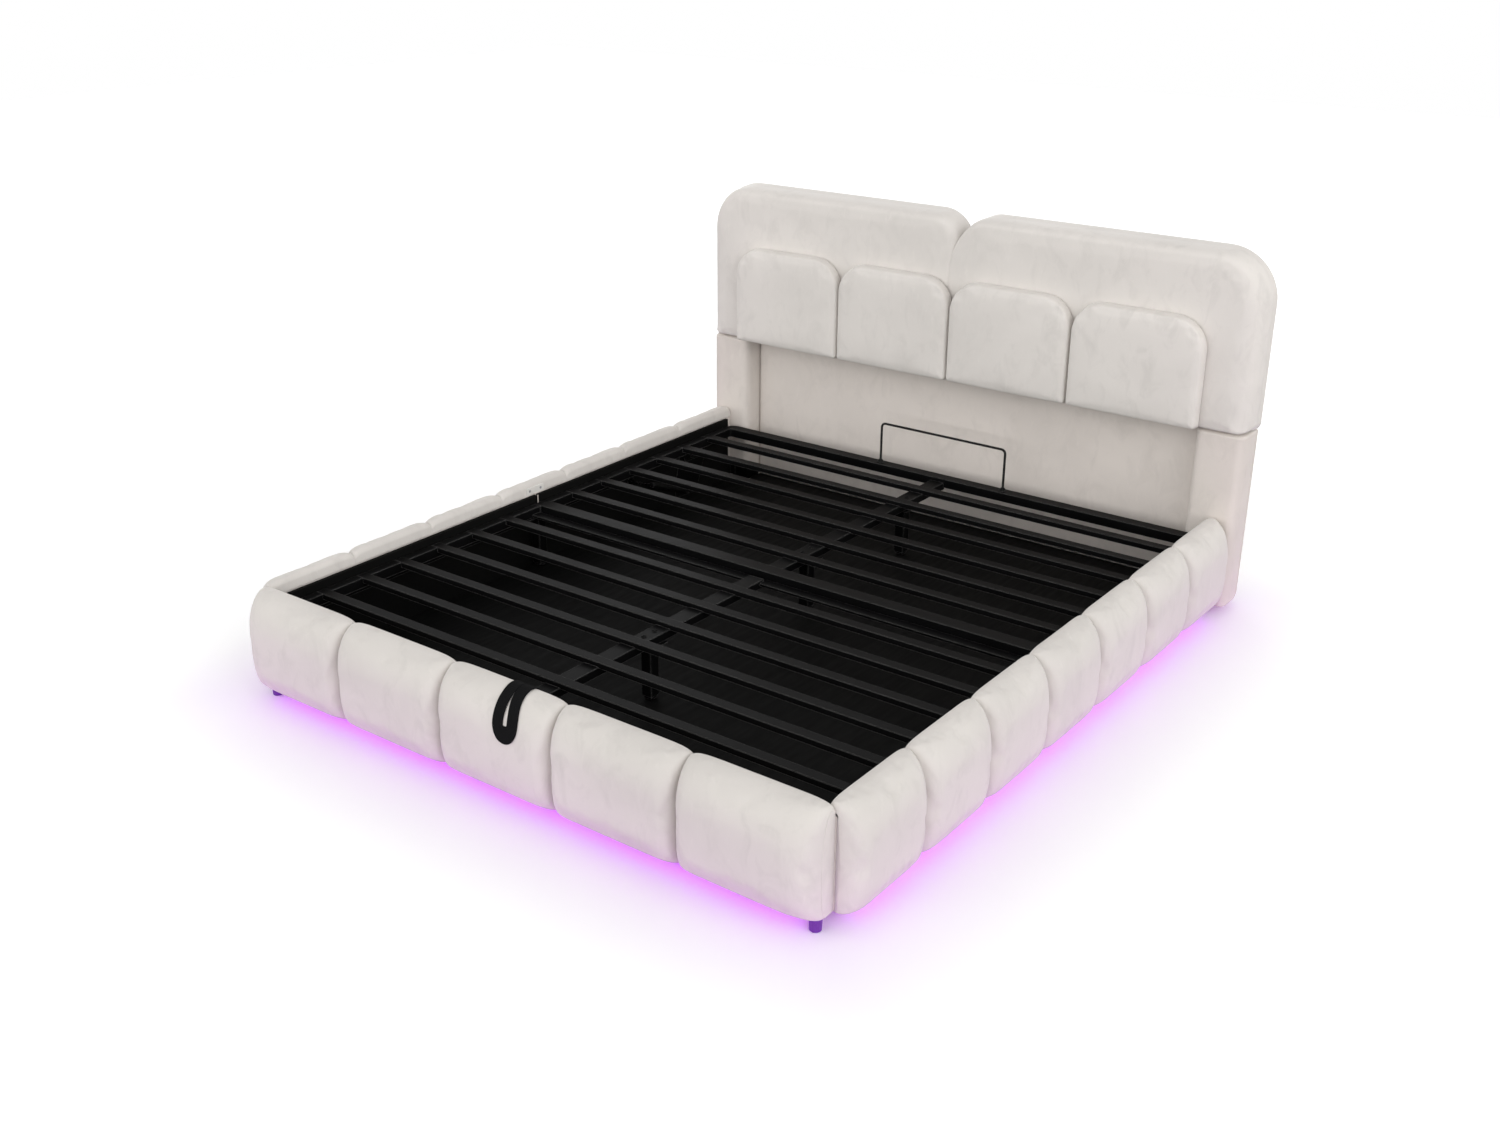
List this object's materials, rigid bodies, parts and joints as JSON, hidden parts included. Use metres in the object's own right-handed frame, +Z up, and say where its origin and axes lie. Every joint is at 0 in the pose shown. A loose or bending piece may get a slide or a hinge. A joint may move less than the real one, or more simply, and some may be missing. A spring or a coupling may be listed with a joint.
{
  "type": "storage bed",
  "caption": "Velvet storage bed with puffed rails, a two-tier padded headboard and a slat frame that lifts on gas struts over a storage floor.",
  "frame": {"origin": "centre of the bounding box in plan, on the floor", "axes": "+Z up, +Y from the foot end to the headboard, +X to the right side seen from the foot end"},
  "size_m": [1.984, 2.2668, 1.107],
  "materials": {
    "velvet": "velvet pile",
    "velvet_on_board": "velvet over board",
    "black_lining": "matt black facing",
    "black_steel": "black powder coat",
    "white_steel": "off-white powder coat",
    "led_silicone": "diffuse light strip",
    "webbing": "woven webbing",
    "rod_nitrided": "black nitrided",
    "black_plastic": "moulded"
  },
  "bodies": {
    "bed_base": {"headboard_post_left": "velvet_on_board", "headboard_post_right": "velvet_on_board", "headboard_lower_panel": "velvet_on_board", "headboard_back_board": "velvet_on_board", "headboard_cushion_left": "velvet", "headboard_cushion_right": "velvet", "front_cushion_1": "velvet", "front_cushion_2": "velvet", "front_cushion_3": "velvet", "front_cushion_4": "velvet", "post_glide_left": "black_plastic", "post_glide_right": "black_plastic", "front_rail_board": "velvet_on_board", "front_rail_cushion": "velvet", "side_rail_board_left_front": "velvet_on_board", "side_rail_board_left_rear": "velvet_on_board", "side_rail_board_right_front": "velvet_on_board", "side_rail_board_right_rear": "velvet_on_board", "side_rail_cushion_left": "velvet", "side_rail_cushion_right": "velvet", "rail_mending_plate_left": "white_steel", "rail_mending_plate_right": "white_steel", "corner_bracket_left_front": "black_steel", "corner_bracket_left_rear": "black_steel", "corner_bracket_right_front": "black_steel", "corner_bracket_right_rear": "black_steel", "front_foot_left": "black_plastic", "front_foot_right": "black_plastic", "led_strip_front": "led_silicone", "led_strip_left": "led_silicone", "led_strip_right": "led_silicone", "storage_side_panel_left_front": "black_lining", "storage_side_panel_left_rear": "black_lining", "storage_side_panel_right_front": "black_lining", "storage_side_panel_right_rear": "black_lining", "storage_floor_front": "black_lining", "storage_floor_rear": "black_lining", "floor_batten_left": "black_lining", "floor_batten_centre": "black_lining", "floor_batten_right": "black_lining", "side_ledger_left": "black_steel", "side_ledger_right": "black_steel", "front_ledger": "black_steel", "hinge_base_plate_left": "black_steel", "hinge_base_plate_right": "black_steel"},
    "lift_frame": {"slat_frame_front": "black_steel", "slat_frame_rear": "black_steel", "centre_leg_front": "black_steel", "centre_leg_middle": "black_steel", "centre_leg_rear": "black_steel", "side_leg_left": "black_steel", "side_leg_right": "black_steel", "mattress_stop_hoop": "black_steel", "pull_strap": "webbing", "lift_arm_left": "black_steel", "lift_arm_right": "black_steel"},
    "strut_body_left": {"strut_cylinder_left": "black_steel"},
    "strut_rod_left": {"strut_rod_left": "rod_nitrided"},
    "strut_body_right": {"strut_cylinder_right": "black_steel"},
    "strut_rod_right": {"strut_rod_right": "rod_nitrided"}
  },
  "joints": [
    {"name": "frame_lift", "type": "hinge", "parent": "bed_base", "child": "lift_frame", "pos_m": [0, 0.7534, 0.2], "axis": [-1, 0, 0], "range_deg": [0, 40]},
    {"name": "strut_swing_left", "type": "hinge", "parent": "bed_base", "child": "strut_body_left", "pos_m": [-0.872, 0.7084, 0.085], "axis": [-1, 0, 0], "range_deg": [0, 36.5]},
    {"name": "rod_slide_left", "type": "slide", "parent": "strut_body_left", "child": "strut_rod_left", "axis": [0, -0.9317, 0.3632], "range_m": [0, 0.0825]},
    {"name": "strut_swing_right", "type": "hinge", "parent": "bed_base", "child": "strut_body_right", "pos_m": [0.872, 0.7084, 0.085], "axis": [-1, 0, 0], "range_deg": [0, 36.5]},
    {"name": "rod_slide_right", "type": "slide", "parent": "strut_body_right", "child": "strut_rod_right", "axis": [0, -0.9317, 0.3632], "range_m": [0, 0.0825]}
  ],
  "couplings": [
    {"joint": "strut_swing_left", "follows": "frame_lift", "ratio": 0.91},
    {"joint": "rod_slide_left", "follows": "frame_lift", "m_per_rad": 0.11775},
    {"joint": "strut_swing_right", "follows": "frame_lift", "ratio": 0.91},
    {"joint": "rod_slide_right", "follows": "frame_lift", "m_per_rad": 0.11775}
  ]
}
